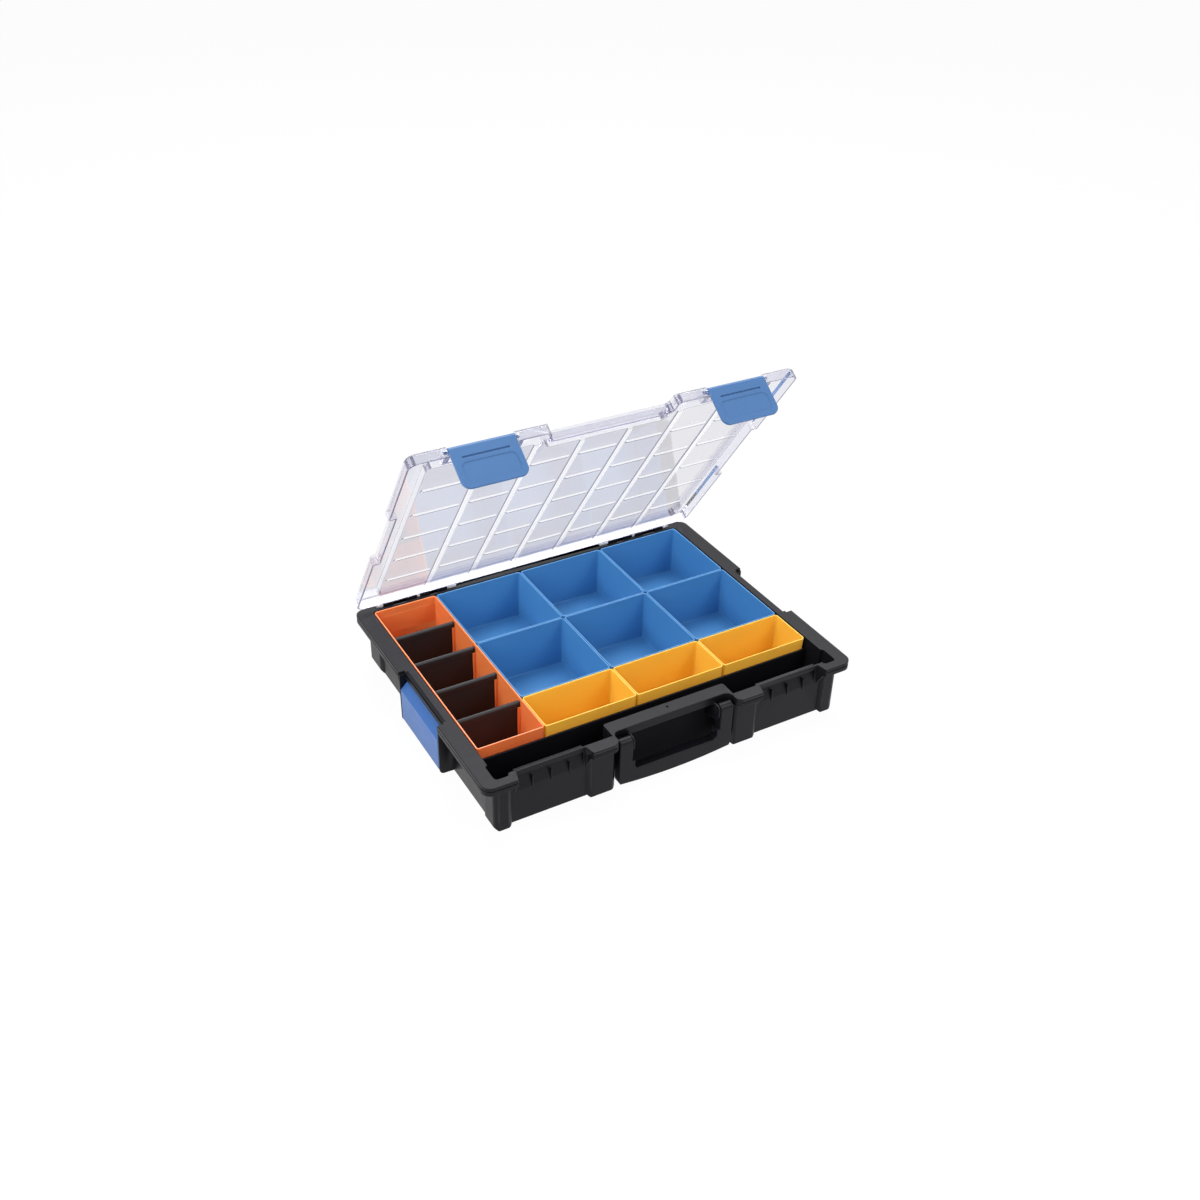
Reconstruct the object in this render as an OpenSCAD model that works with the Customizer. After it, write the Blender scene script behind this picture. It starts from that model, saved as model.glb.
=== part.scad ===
// Organiser case: black tray with a clear hinged lid, lift-out bins, two front
// latches, a folding carry handle and a stacking clip on each side.
// Millimetres. X runs left to right, -Y is the front, Z is up from the feet.

/* [Case] */
// Width over the rim
case_w = 438; // [428:1:470]
// Depth over the rim
case_d = 340; // [334:1:370]
// Height from the feet to the top of the rim
base_h = 65.5; // [62:0.5:90]
// Thickness of the tray walls and floor
wall = 2.5; // [2:0.1:3]
// Outer corner radius of the rim
corner_r = 11; // [9:1:20]
// How far the rim stands out from the side walls
side_reach = 16; // [15:0.5:18]
// How far the rim stands out from the front wall
front_reach = 12; // [11:0.5:14]
// How far the rim stands out from the back wall
back_reach = 8; // [7.5:0.5:9]
// Height of the rim flange
rim_h = 10; // [9:0.5:12]
// Plate thickness of the rim flange
rim_t = 2.5; // [2:0.1:3]
// Height of the feet
foot_h = 1.5; // [1:0.5:4]

/* [Bins] */
// Width step of the grid that the loose bins are made to
grid = 54; // [50:0.5:56]
// Depth of the open strip between the handle bay and the low wall before the bins
strip_d = 21.5; // [15:0.25:40]
// How far the low wall before the bins stays under the rim
strip_wall_drop = 12.5; // [8:0.5:30]
// Gap between neighbouring bins
bin_gap = 0.8; // [0.6:0.1:1.5]
// Play between the set of bins and the tray wall
bin_play = 0.75; // [0.5:0.05:1.5]
// Wall thickness of a bin
bin_wall = 1.2; // [1:0.1:2.2]
// Floor thickness of a bin
bin_floor = 1.8; // [1.4:0.1:2.5]
// How far a bin wall leans in at its foot
bin_draft = 1.2; // [0.6:0.1:1.8]
// Corner radius of a bin
bin_corner = 3.5; // [3:0.5:8]
// Thickness of a divider
divider_t = 2; // [1.6:0.1:2.4]

/* [Lid] */
// Height of the closed lid over the rim
lid_h = 12; // [11:0.5:15]
// Wall thickness of the lid
lid_wall = 2; // [1.6:0.1:2.4]
// Angle that the lid stands open
lid_open = 55; // [0:1:100]
// Gap under the closed lid
lid_gap = 0.3; // [0.2:0.05:0.5]
// How far the lid stays inside the rim edge
lid_set = 0.5; // [0.3:0.1:2]
// Bevel along the upper edge of the lid
lid_bevel = 2.5; // [1:0.1:2.6]
// Height of the sunk panel over the rim
panel_rise = 2.5; // [2.3:0.1:5]
// Width of the raised channel along the sides of the panel
channel_side = 22.5; // [18:0.5:26]
// Width of the raised channel along the hinge
channel_back = 18; // [14:0.5:22]
// Width of the raised channel behind a latch
channel_latch = 9; // [7:0.5:12]
// Width of the raised channel behind the handle bay
channel_bay = 16; // [12:0.5:20]
// Width of a stiffening rib that runs front to back
rib_w = 6.4; // [3:0.1:8]
// Width of a stiffening rib that runs left to right
cross_w = 4.6; // [3:0.1:6]
// Height of a stiffening rib
rib_h = 1.4; // [0.6:0.1:1.6]
// Step between ribs that run front to back
rib_step_x = 54.4; // [48:0.1:56]
// Step between ribs that run left to right
rib_step_y = 51; // [46:0.1:54]

/* [Hinge] */
// Length of each hinge group
hinge_w = 97; // [80:1:110]
// Distance of each hinge group from the side of the case
hinge_side = 26; // [15:0.5:40]
// Diameter of the steel hinge pin
pin_d = 3; // [2.5:0.1:3.4]
// Outer radius of a hinge knuckle
knuckle_r = 3.6; // [3.4:0.1:4]
// Height of the hinge axis over the rim
axis_rise = 2.4; // [2.2:0.1:3]
// Radial clearance where a pin turns
turn_fit = 0.06; // [0.03:0.01:0.09]
// Radial clearance where a pin is held
hold_fit = 0.02; // [0.01:0.01:0.03]

/* [Latches] */
// Width of a latch
latch_w = 68.5; // [60:0.5:72]
// Thickness of a latch plate
latch_t = 3; // [2.6:0.1:3.2]
// Length of a latch below its axis
latch_len = 41.5; // [34:0.5:42]
// Distance of each latch from the middle
latch_x = 142.5; // [138:0.5:146]
// Inward lean of a shut latch
latch_shut = 10; // [8:0.5:11]
// Outward swing of a latch at rest from shut
latch_free = 8; // [8:0.5:20]
// How far the hook reaches under the rim
hook_bite = 1.4; // [1:0.1:1.5]

/* [Handle] */
// Width over the handle arms
handle_w = 136; // [124:1:138]
// Width of one arm
arm_w = 15; // [13:0.5:16]
// Thickness of the handle, front to back
handle_t = 11; // [9:0.5:12]
// Height of the grip bar
grip_h = 16; // [13:0.5:18]

/* [Side clips] */
// Width of a clip
clip_w = 95; // [80:1:100]
// Middle of each clip, front to back
clip_y = -9; // [-15:1:0]
// Thickness of the clip plate
clip_t = 2.8; // [2.4:0.1:3.2]

/* [Hidden] */
$fn = 96;
charcoal = [0.15, 0.15, 0.17];
clear_grey = [0.85, 0.87, 0.92, 0.4];
latch_blue = [0.32, 0.50, 0.76];
bin_blue = [0.22, 0.50, 0.78];
bin_yellow = [0.96, 0.66, 0.10];
bin_orange = [0.92, 0.42, 0.15];
soot = [0.13, 0.12, 0.12];
steel = [0.7, 0.7, 0.72];
cut = 1;
far = 60;
rim_low = base_h - rim_h;
floor_top = foot_h + wall;
wall_x = case_w / 2 - side_reach;
front_y = -case_d / 2 + front_reach;
back_y = case_d / 2 - back_reach;
wall_r = bin_corner + bin_gap / 2 + bin_play + wall;
block_out = 4;
block_side = 3;
block_r = 6;
block_d = 24;
foot_bevel = 4;
back_block_w = 30;
back_block_d = 34;
pier_gap = 1;
block_top = base_h - rim_t / 2;
post_gap = 9;
post_from = latch_x + latch_w / 2 + post_gap;
notch_side = 3.75;
notch_w = latch_w + 2 * notch_side;
pier_to = latch_x - notch_w / 2 - pier_gap;
pier_room = 10;
pier_roof = 9;
niche_end = 2;
fin_step = 20.5;
fin_t = 1.6;
fin_out = 1.2;
fin_drop = 11.4;
fin_h = 14.1;
fin_top = base_h - fin_drop;
fin_low = fin_top - fin_h;
gusset_out = 1.8;
gusset_t = 2;
gusset_root = 1;
gusset_lip = 8;
gusset_h = 18;
liner_drop = 3.5;
liner_foot = 3;
liner_r = 3;
notch_depth = front_reach;
notch_flare = 3;
notch_y = -case_d / 2 + notch_depth;
lip_t = 6;
niche_depth = 6;
niche_drop = 23;
niche_low = base_h - niche_drop;
well_side = 2.2;
well_w = handle_w + 2 * well_side;
well_step = 18.6;
well_d = 32;
well_back = -case_d / 2 + well_d;
well_r = 7;
strip_hole = 9.5;
hole_d = 3;
under_r = 2;
mouth_r = 8;
rail_set = 7;
rail_bevel = 4.5;
rail_end = 3;
groove_drop = 5;
groove_h = 1.6;
groove_t = 0.9;
cheek_t = 2.5;
cheek_sink = 1.9;
cheek_r = 5;
clip_stub = 1.6;
slack = 0.5;
rail_len = clip_w + 2 * (slack + cheek_t);
bin_back = back_y - wall - bin_play;
rows = 5;
strip_wall_t = 2;
row_step = (bin_back - bin_play - strip_wall_t - strip_d - wall - well_back) / rows;
bins_front = bin_back - rows * row_step;
columns = 6;
long_w = 2 * (wall_x - wall - bin_play) - columns * grid;
bins_left = -wall_x + wall + bin_play;
bin_rest = 0.05;
bin_sink = 0.4;
bin_seat = floor_top + bin_rest;
bin_h = base_h - bin_seat - bin_sink;
bin_top = bin_seat + bin_h;
lean = atan(bin_draft / bin_h);
bar_h = 6.6;
bar_w = 5.2;
bar_sink = 3;
bar_play = 0.9;
divider_top = bin_top - bar_sink;
divider_play = 0.4;
guide_gap = 0.1;
guide_top = divider_top - bar_h - guide_gap;
guide_in = 4;
guide_t = 2;
guide_play = 0.3;
guide_root = 1;
pad_t = 1;
pad_drop = 10;
hinge_y = case_d / 2 - knuckle_r;
hinge_z = base_h + axis_rise;
hinge_to = case_w / 2 - hinge_side;
hinge_from = hinge_to - hinge_w;
lug_in_w = 11;
lug_mid_w = 3;
lug_out_w = 7;
lug_mid_x = hinge_from + (hinge_w - lug_mid_w) / 2;
lug_end_in = [hinge_from, hinge_from + lug_in_w];
lug_mid = [lug_mid_x - lug_mid_w / 2, lug_mid_x + lug_mid_w / 2];
lug_end_out = [hinge_to - lug_out_w, hinge_to];
lugs = [lug_end_in, lug_mid, lug_end_out];
lug_root = 1;
lug_drop = 2;
lug_gap = 0.4;
lug_room = 0.5;
knuckle_w = 12;
knuckle_root = 2;
back_gap = 0.8;
lid_x = case_w / 2 - lid_set;
lid_front = -case_d / 2 + lid_set;
lid_back = hinge_y - knuckle_r - back_gap;
lid_low = base_h + lid_gap;
lid_top = base_h + lid_h;
lid_r = corner_r - lid_set;
panel_low = base_h + panel_rise;
panel_x = lid_x - channel_side;
bay_gap = 0.5;
ear_gap = 0.6;
latch_bay = notch_y + bay_gap;
panel_front = latch_bay + channel_latch;
panel_bay = -case_d / 2 + well_step + channel_bay;
panel_back = lid_back - channel_back;
panel_r = 8;
rib_mid = 169.3;
cross_gap = 2;
cross_r = (cross_w * cross_w / 4 + rib_h * rib_h) / (2 * rib_h);
barrel_r = 3.6;
stub_r = 2;
stub_len = 3.4;
stub_end = 0.4;
latch_set = 0.2;
latch_rise = 7;
latch_y = lid_front + barrel_r + latch_set;
latch_z = base_h + latch_rise;
ear_w = 6;
hook_dy = notch_y + hook_bite - latch_y;
hook_gap = 0.4;
hook_dz = base_h - lip_t - hook_gap - latch_z;
hook_y = hook_dy * cos(latch_shut) + hook_dz * sin(latch_shut);
hook_z = hook_dz * cos(latch_shut) - hook_dy * sin(latch_shut);
hook_t = 1.3;
hook_h = 6;
hook_side = 5;
hook_root = 0.5;
latch_r = 9;
latch_square = 14;
latch_top = 2;
slot_side = 10;
slot_z = 11;
slot_h = 2;
slot_t = 1.2;
thumb_side = 6;
thumb_low = 6;
thumb_top = 15;
thumb_r = 6;
thumb_t = 0.5;
pivot_out = 1.1;
pivot_drop = 10.5;
pivot_y = front_y - pivot_out;
pivot_z = base_h - pivot_drop;
pivot_r = 2.5;
boss_r = 4.5;
plate_h = 20;
plate_lip = 14;
plate_nose = 8;
plate_root = 0.5;
plate_t = 2;
plate_x = handle_w / 2 - arm_w - slack - plate_t;
grip_low = 1;
grip_bow = 4;
bow_r = (handle_w * handle_w / 4 + grip_bow * grip_bow) / (2 * grip_bow);
grip_thin = 1.5;
grip_top = grip_low + grip_bow + grip_h - grip_thin;
arm_r = 9;
grip_r = 5;
arm_step = 3.5;
arm_top = 24;
grip_hollow_x = 6;
grip_hollow_z = 3;
pin_hold = 2.8;
pin_end = 2;
pin_show = 1.7;
pin_in = slack + pin_show;
pin_out = well_side + pin_hold;
pivot_sink = pin_hold + pin_end;
clip_set = 0.5;
clip_out = case_w / 2 - clip_set;
clip_axis_out = 6.3;
clip_axis_x = wall_x + clip_axis_out;
clip_axis_z = 11.5;
clip_barrel = 5.6;
clip_gap = 1.5;
clip_top = rim_low - clip_gap;
clip_back = 1;
clip_hook = 2.2;
clip_hook_h = 6;
clip_foot = 3;
clip_root = 0.5;
clip_ribs = 4;
clip_rib_t = 2;
clip_rib_set = 1;
clip_crease = clip_top - (clip_out - clip_axis_x);

// Flat area with round corners between two corner points.
module rounded_area(x0, x1, y0, y1, r) {
    translate([x0 + r, y0])
        square([x1 - x0 - 2 * r, y1 - y0]);
    translate([x0, y0 + r])
        square([x1 - x0, y1 - y0 - 2 * r]);
    for (x = [x0 + r, x1 - r], y = [y0 + r, y1 - r])
        translate([x, y])
            circle(r);
}

module rounded_block(x0, x1, y0, y1, z0, z1, r) {
    translate([0, 0, z0])
        linear_extrude(z1 - z0)
            rounded_area(x0, x1, y0, y1, r);
}

// Bar along X with its axis at y, z.
module bar_x(x0, x1, y, z, r) {
    translate([x0, y, z])
        rotate([0, 90, 0])
            cylinder(h = x1 - x0, r = r);
}

// Bar along Y with its axis at x, z.
module bar_y(y0, y1, x, z, r) {
    translate([x, y1, z])
        rotate([90, 0, 0])
            cylinder(h = y1 - y0, r = r);
}

// Outline of the tray wall.
module wall_area(inset) {
    rounded_area(-wall_x + inset, wall_x - inset, front_y + inset, back_y - inset, wall_r - inset);
}

// Gap in the front edge for one latch; the flare is its spread per millimetre of depth.
module notch_area(half, y, flare) {
    wide = half + flare * far;
    polygon([[-half, y], [half, y], [wide, y - far], [-wide, y - far]]);
}

// Bay in the front of the case that the handle folds into.
module well_area(grow, edge) {
    half = well_w / 2 + grow;
    mouth = -case_d / 2 + grow;
    r = mouth_r - grow;
    rounded_area(-half, half, mouth - far, edge + grow, well_r);
    for (s = [-1, 1])
        difference() {
            translate([s * (half + (r - cut) / 2), mouth + (r - far) / 2])
                square([r + cut, r + far], center = true);
            translate([s * (half + r), mouth + r])
                circle(r);
        }
}

// Outline shared by the rim and the lid, with its latch gaps, handle bay and side steps.
module case_area(x, y0, y1, r, inset, gap_half, gap_y, flare) {
    difference() {
        rounded_area(-x + inset, x - inset, y0 + inset, y1 - inset, r - inset);
        for (s = [-1, 1]) {
            translate([s * (x - rail_set - inset + far / 2), clip_y])
                square([far, rail_len + 2 * inset], center = true);
            translate([s * latch_x, 0])
                notch_area(gap_half + inset, gap_y + inset, flare);
        }
        well_area(inset, -case_d / 2 + well_step);
    }
}

module rim_area(inset) {
    case_area(
        case_w / 2, -case_d / 2, case_d / 2, corner_r, inset,
        notch_w / 2, notch_y, notch_flare / notch_depth
    );
}

// Flange round the top of the tray: a top plate with a turned-down lip that has a groove in it.
module rim() {
    difference() {
        translate([0, 0, rim_low])
            linear_extrude(rim_h)
                rim_area(0);
        translate([0, 0, rim_low - cut])
            linear_extrude(rim_h - rim_t + cut)
                difference() {
                    rim_area(rim_t);
                    wall_area(0);
                }
        translate([0, 0, base_h - groove_drop])
            linear_extrude(groove_h)
                difference() {
                    square([case_w + 2 * cut, case_d + 2 * cut], center = true);
                    rounded_area(
                        -case_w / 2 + groove_t, case_w / 2 - groove_t,
                        -case_d / 2 + groove_t, case_d / 2 - groove_t, corner_r - groove_t
                    );
                }
        for (s = [-1, 1])
            translate([s * (case_w / 2 - rail_set), clip_y, base_h])
                rotate([0, 45, 0])
                    cube([rail_bevel, rail_len - 2 * rail_end, rail_bevel], center = true);
    }
}

// Upright block that ends in a foot with bevelled sides.
module column(x0, x1, y0, y1) {
    side = foot_bevel * sqrt(2);
    difference() {
        rounded_block(x0, x1, y0, y1, 0, block_top, block_r);
        for (x = [x0, x1])
            translate([x, (y0 + y1) / 2, 0])
                rotate([0, 45, 0])
                    cube([side, y1 - y0 + 2 * cut, side], center = true);
    }
}

// Corner columns and the two piers beside the handle; they run down to form the feet.
module blocks() {
    for (s = [-1, 1]) {
        pier = [well_w / 2, pier_to];
        post = [post_from, wall_x + block_side];
        back = [wall_x - back_block_w, wall_x + block_side];
        for (b = [pier, post])
            column(
                min(s * b[0], s * b[1]), max(s * b[0], s * b[1]),
                front_y - block_out, front_y + block_d
            );
        column(
            min(s * back[0], s * back[1]), max(s * back[0], s * back[1]),
            back_y - back_block_d, back_y + block_side
        );
    }
}

// Upright plates that carry the stubs of a side clip.
module cheeks() {
    in = wall_x - cut;
    low = foot_h + cheek_r;
    for (s = [0, 1], t = [-1, 1])
        mirror([s, 0, 0])
            translate([0, clip_y + t * (rail_len - cheek_t) / 2 + cheek_t / 2, 0])
                rotate([90, 0, 0])
                    linear_extrude(cheek_t) {
                        translate([in, low])
                            square([clip_out - in, base_h - rim_t - low]);
                        translate([in, foot_h])
                            square([clip_out - cheek_r - in, low - foot_h]);
                        translate([clip_out - cheek_r, low])
                            circle(cheek_r);
                    }
}

// Space inside the tray.
module cavity() {
    translate([0, 0, floor_top])
        linear_extrude(base_h)
            wall_area(wall);
    for (s = [-1, 1]) {
        rounded_block(
            min(s * (well_w / 2 + wall), s * (pier_to - wall)),
            max(s * (well_w / 2 + wall), s * (pier_to - wall)),
            front_y - block_out + wall, front_y + pier_room,
            floor_top, pivot_z - pier_roof, block_r - wall
        );
        rounded_block(
            min(s * (post_from + wall), s * (wall_x + block_side - wall)),
            max(s * (post_from + wall), s * (wall_x + block_side - wall)),
            front_y - block_out + wall, front_y + block_d - wall,
            floor_top, base_h + cut, block_r - wall
        );
    }
}

// Thicker inside walls behind the handle bay and the latch gaps.
module liners() {
    rounded_block(
        -well_w / 2 - wall, well_w / 2 + wall, front_y - block_out, well_back + wall,
        foot_h, base_h, liner_r
    );
    for (s = [-1, 1])
        translate([s * latch_x - notch_w / 2, front_y, niche_low - liner_foot])
            cube([notch_w, niche_depth + wall, base_h - liner_drop - niche_low + liner_foot]);
}

// Low wall across the tray that keeps the bins out of the open strip.
module strip_wall() {
    low = foot_h + wall / 2;
    translate([-wall_x + wall / 2, bins_front - bin_play - strip_wall_t, low])
        cube([2 * wall_x - wall, strip_wall_t, base_h - strip_wall_drop - low]);
}

// Recess under the rim that takes the hook of a latch; its back slopes out to the wall.
module niche() {
    roof = base_h - lip_t;
    translate([-notch_w / 2 + niche_end, 0, 0])
        rotate([90, 0, 90])
            linear_extrude(notch_w - 2 * niche_end)
                polygon([
                    [notch_y, niche_low], [notch_y + niche_depth, roof],
                    [notch_y - cut, roof], [notch_y - cut, niche_low]
                ]);
}

// Three thin fins across the recess and a gusset under the rim at each end.
module niche_fins() {
    for (i = [-1, 0, 1])
        translate([i * fin_step - fin_t / 2, notch_y - fin_out, fin_low])
            cube([fin_t, niche_depth + cut, fin_top - fin_low]);
    for (s = [-1, 1])
        translate([s * (notch_w / 2 + gusset_out) - gusset_t / 2, 0, rim_low + gusset_root])
            rotate([90, 0, 90])
                linear_extrude(gusset_t)
                    polygon([
                        [front_y + gusset_root, 0], [-case_d / 2 + rim_t, 0],
                        [front_y - block_out, -gusset_lip - gusset_root],
                        [front_y + gusset_root, -gusset_h - gusset_root]
                    ]);
}

// Inner plates of the handle pivots.
module handle_plates() {
    for (s = [-1, 1])
        translate([s * (plate_x + plate_t / 2) - plate_t / 2, 0, 0])
            rotate([90, 0, 90])
                linear_extrude(plate_t) {
                    polygon([
                        [well_back + plate_root, pivot_z - plate_h], [pivot_y, pivot_z - plate_lip],
                        [pivot_y - boss_r, pivot_z - plate_nose], [pivot_y - boss_r, pivot_z],
                        [pivot_y, pivot_z + boss_r], [well_back + plate_root, pivot_z + boss_r]
                    ]);
                    translate([pivot_y, pivot_z])
                        circle(boss_r);
                }
}

// Hinge knuckles of the tray, one on each side of every lug of the lid.
module tray_knuckles() {
    for (s = [-1, 1], g = [[lug_end_in[1], lug_mid[0]], [lug_mid[1], lug_end_out[0]]], e = [0, 1]) {
        set = lug_gap + knuckle_w / 2;
        x = e == 0 ? g[0] + set : g[1] - set;
        translate([s * x, 0, 0]) {
            bar_x(-knuckle_w / 2, knuckle_w / 2, hinge_y, hinge_z, knuckle_r);
            translate([-knuckle_w / 2, hinge_y - knuckle_r, base_h - knuckle_root])
                cube([knuckle_w, 2 * knuckle_r, axis_rise + knuckle_root]);
        }
    }
}

module tray_bores() {
    for (s = [-1, 1]) {
        bar_x(
            min(s * hinge_from, s * hinge_to) - cut, max(s * hinge_from, s * hinge_to) + cut,
            hinge_y, hinge_z, pin_d / 2 + hold_fit
        );
        for (g = lugs)
            bar_x(
                min(s * g[0], s * g[1]) - lug_gap, max(s * g[0], s * g[1]) + lug_gap,
                hinge_y, hinge_z, knuckle_r + lug_room
            );
        translate([s * well_w / 2, 0, 0])
            bar_x(-pivot_sink, pivot_sink, pivot_y, pivot_z, pivot_r + turn_fit);
        translate([s * (plate_x + plate_t / 2), 0, 0])
            bar_x(-plate_t, plate_t, pivot_y, pivot_z, pivot_r + turn_fit);
        bar_y(
            clip_y - clip_w / 2 - slack - cheek_sink, clip_y + clip_w / 2 + slack + cheek_sink,
            s * clip_axis_x, clip_axis_z, stub_r + turn_fit
        );
    }
}

module base_tray() {
    color(charcoal)
        difference() {
            union() {
                difference() {
                    union() {
                        difference() {
                            union() {
                                translate([0, 0, foot_h])
                                    linear_extrude(base_h - foot_h)
                                        wall_area(0);
                                blocks();
                                rim();
                            }
                            cavity();
                        }
                        intersection() {
                            translate([0, 0, foot_h])
                                linear_extrude(base_h - foot_h)
                                    wall_area(0);
                            liners();
                        }
                        cheeks();
                        strip_wall();
                    }
                    translate([0, 0, -cut])
                        linear_extrude(rim_low + cut)
                            well_area(0, well_back);
                    translate([0, 0, rim_low - cut])
                        linear_extrude(rim_h + 2 * cut)
                            well_area(0, -case_d / 2 + well_step);
                    rounded_block(
                        -well_w / 2, well_w / 2, -case_d / 2 + well_step + rim_t, well_back,
                        rim_low - cut, base_h - rim_t, under_r
                    );
                    for (s = [-1, 1])
                        translate([s * latch_x, 0, 0])
                            niche();
                }
                for (s = [-1, 1])
                    translate([s * latch_x, 0, 0])
                        niche_fins();
                handle_plates();
                tray_knuckles();
            }
            tray_bores();
            translate([0, -case_d / 2 + well_step + strip_hole, base_h - rim_t - cut])
                cylinder(h = rim_t + 2 * cut, d = hole_d);
        }
}

module lid_area(inset) {
    case_area(lid_x, lid_front, lid_back, lid_r, inset, latch_w / 2 + ear_gap, latch_bay, 0);
}

// Cutters for the bevel along the upper edge of the lid.
module lid_bevels() {
    side = lid_bevel * sqrt(2);
    for (s = [-1, 1])
        translate([s * lid_x, 0, lid_top])
            rotate([0, 45, 0])
                cube([side, case_d + far, side], center = true);
    for (y = [lid_front, lid_back])
        translate([0, y, lid_top])
            rotate([45, 0, 0])
                cube([case_w + far, side, side], center = true);
    for (s = [-1, 1], t = [0, 1])
        translate([s * (lid_x - lid_r), t == 0 ? lid_front + lid_r : lid_back - lid_r, lid_top])
            rotate([0, 0, s > 0 ? (t == 0 ? -90 : 0) : (t == 0 ? 180 : 90)])
                rotate_extrude(angle = 90)
                    translate([lid_r, 0])
                        rotate(45)
                            square(side, center = true);
}

// Outline of the sunk panel, set back behind the handle bay.
module panel_area(inset) {
    difference() {
        rounded_area(
            -panel_x + inset, panel_x - inset, panel_front + inset, panel_back - inset,
            panel_r - inset
        );
        rounded_area(
            -well_w / 2 - inset, well_w / 2 + inset, panel_front - far, panel_bay + inset,
            panel_r + inset
        );
    }
}

// Sunk panel with the wall that joins it to the raised channel.
module lid_panel() {
    translate([0, 0, panel_low])
        linear_extrude(lid_wall)
            panel_area(0);
    translate([0, 0, panel_low])
        linear_extrude(lid_top - panel_low)
            difference() {
                panel_area(0);
                panel_area(lid_wall);
            }
}

// Rib with a round back and round ends that stands on the inner face of the panel.
module cross_rib(x0, x1, y) {
    z = panel_low - rib_h + cross_r;
    bar_x(x0 + cross_w / 2, x1 - cross_w / 2, y, z, cross_r);
    for (x = [x0 + cross_w / 2, x1 - cross_w / 2])
        translate([x, y, z])
            sphere(cross_r);
}

// Stiffening ribs on the inner face of the panel: flat ones front to back, round ones between them.
module lid_ribs() {
    z = panel_low - rib_h;
    last = 2.5 * rib_step_x;
    clear = rib_w / 2 + cross_gap;
    intersection() {
        union() {
            for (i = [-2.5:1:2.5])
                translate([i * rib_step_x - rib_w / 2, -case_d / 2, z])
                    cube([rib_w, case_d, rib_h + lid_wall / 2]);
            for (i = [-2:1:2]) {
                y = hinge_y - rib_mid - i * rib_step_y;
                for (j = [-2:1:2])
                    cross_rib((j - 0.5) * rib_step_x + clear, (j + 0.5) * rib_step_x - clear, y);
                for (s = [-1, 1])
                    cross_rib(
                        min(s * (last + clear), s * (panel_x - cross_gap)),
                        max(s * (last + clear), s * (panel_x - cross_gap)), y
                    );
            }
        }
        translate([0, 0, z])
            linear_extrude(rib_h + lid_wall / 2)
                panel_area(0);
    }
}

// Ears that carry a latch and lugs that carry the hinge pins.
module lid_ears() {
    for (s = [-1, 1]) {
        for (t = [-1, 1])
            translate([s * latch_x + t * (latch_w / 2 + ear_gap + ear_w / 2), 0, 0])
                translate([-ear_w / 2, lid_front, lid_low])
                    cube([ear_w, latch_bay + lid_wall - lid_front, lid_top - lid_low]);
        for (g = lugs) {
            x = min(s * g[0], s * g[1]);
            bar_x(x, x + g[1] - g[0], hinge_y, hinge_z, knuckle_r);
            translate([x, lid_back - lug_root, hinge_z - lug_drop])
                cube([g[1] - g[0], hinge_y - lid_back + lug_root, lug_drop + knuckle_r]);
        }
    }
}

module lid_bores() {
    for (s = [-1, 1]) {
        bore = latch_w / 2 + ear_gap + stub_len + stub_end;
        translate([s * latch_x, 0, 0])
            bar_x(-bore, bore, latch_y, latch_z, stub_r + turn_fit);
        bar_x(
            min(s * hinge_from, s * hinge_to) - cut, max(s * hinge_from, s * hinge_to) + cut,
            hinge_y, hinge_z, pin_d / 2 + turn_fit
        );
    }
}

// Swings a closed piece up with the open lid.
module opened() {
    translate([0, hinge_y, hinge_z])
        rotate([-lid_open, 0, 0])
            translate([0, -hinge_y, -hinge_z])
                children();
}

module lid() {
    color(clear_grey)
        opened()
            difference() {
                union() {
                    difference() {
                        translate([0, 0, lid_low])
                            linear_extrude(lid_top - lid_low)
                                lid_area(0);
                        translate([0, 0, lid_low - cut])
                            linear_extrude(lid_top - lid_wall - lid_low + cut)
                                lid_area(lid_wall);
                        translate([0, 0, lid_top - lid_wall - cut])
                            linear_extrude(lid_wall + 2 * cut)
                                panel_area(lid_wall);
                    }
                    lid_panel();
                    lid_ribs();
                    lid_ears();
                }
                lid_bevels();
                lid_bores();
            }
}

// Latch with its axis on the X axis, hanging straight down.
module latch_body() {
    inner = latch_t - barrel_r;
    stub = latch_w / 2 + ear_gap + stub_len;
    difference() {
        union() {
            translate([0, inner, 0])
                rotate([90, 0, 0])
                    linear_extrude(latch_t) {
                        rounded_area(-latch_w / 2, latch_w / 2, -latch_len, -latch_top, latch_r);
                        translate([-latch_w / 2, -latch_square])
                            square([latch_w, latch_square]);
                    }
            bar_x(-latch_w / 2, latch_w / 2, 0, 0, barrel_r);
            bar_x(-stub, stub, 0, 0, stub_r);
            translate([-latch_w / 2 + hook_side, 0, 0])
                rotate([90, 0, 90])
                    linear_extrude(latch_w - 2 * hook_side)
                        polygon([
                            [inner - hook_root, hook_z], [hook_y, hook_z],
                            [hook_y, hook_z - hook_t], [inner - hook_root, hook_z - hook_h]
                        ]);
        }
        translate([-latch_w / 2 + slot_side, -barrel_r - cut, -slot_z])
            cube([latch_w - 2 * slot_side, cut + slot_t, slot_h]);
        translate([0, -barrel_r + thumb_t, 0])
            rotate([90, 0, 0])
                linear_extrude(thumb_t + cut)
                    rounded_area(
                        -latch_w / 2 + thumb_side, latch_w / 2 - thumb_side,
                        -latch_len + thumb_low, -thumb_top, thumb_r
                    );
    }
}

module latch(s) {
    color(latch_blue)
        opened()
            translate([s * latch_x, latch_y, latch_z])
                rotate([latch_shut - latch_free, 0, 0])
                    latch_body();
}

module left_latch() {
    latch(-1);
}

module right_latch() {
    latch(1);
}

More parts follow.
